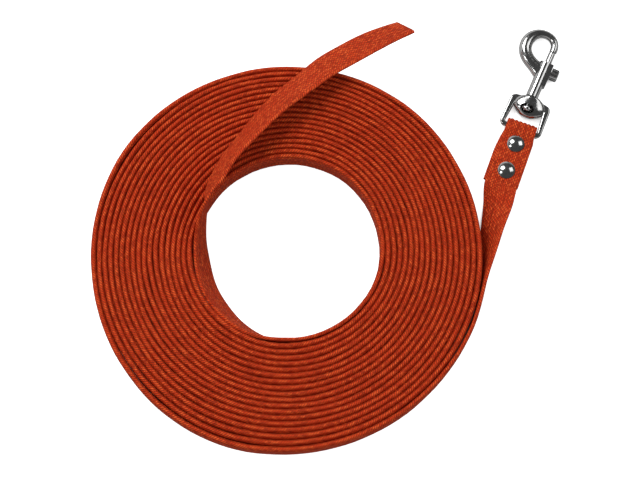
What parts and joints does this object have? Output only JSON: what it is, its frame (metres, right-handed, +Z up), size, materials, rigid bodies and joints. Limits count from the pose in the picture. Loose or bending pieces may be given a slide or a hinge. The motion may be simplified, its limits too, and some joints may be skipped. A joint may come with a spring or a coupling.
{
  "type": "training leash",
  "caption": "Long flat-webbing training leash, rolled on edge into a coil with a free tail, its end folded and riveted round the swivel eye of a trigger bolt snap.",
  "frame": {"origin": "middle of the leash's outline on the surface that it lies on", "axes": "+Z up from the surface, +X from the coil towards the side with the snap, +Y towards the end that the snap and the tail point to"},
  "size_m": [0.2768, 0.2547, 0.0411],
  "materials": {
    "webbing": "woven, satin, orange-red",
    "nickel": "polished dark nickel",
    "rivet": "polished dark nickel",
    "spring_steel": "drawn wire"
  },
  "bodies": {
    "webbing": {"webbing_coil": "webbing", "webbing_lead": "webbing", "webbing_fold": "webbing", "webbing_tail": "webbing", "rivet_cap_1": "rivet", "rivet_cap_2": "rivet", "rivet_back_1": "rivet", "rivet_back_2": "rivet"},
    "swivel_eye": {"swivel_eye": "nickel"},
    "snap": {"snap_body": "nickel", "gate_spring": "spring_steel"},
    "gate": {"gate_bolt": "nickel", "thumb_knob": "nickel"}
  },
  "joints": [
    {"name": "eye_hinge", "type": "hinge", "parent": "webbing", "child": "swivel_eye", "pos_m": [0.11355, 0.06594, 0.0042], "axis": [0.9171, -0.3987, 0], "range_deg": [-100, 100]},
    {"name": "snap_swivel", "type": "hinge", "parent": "swivel_eye", "child": "snap", "pos_m": [0.11263, 0.06634, 0.0042], "axis": [0.3987, 0.9171, 0], "continuous": true},
    {"name": "gate_slide", "type": "slide", "parent": "snap", "child": "gate", "axis": [-0.3987, -0.9171, 0], "range_m": [0, 0.007], "stiffness_N_per_m": 300, "springref_m": -0.004, "deforming": ["gate_spring"]}
  ]
}
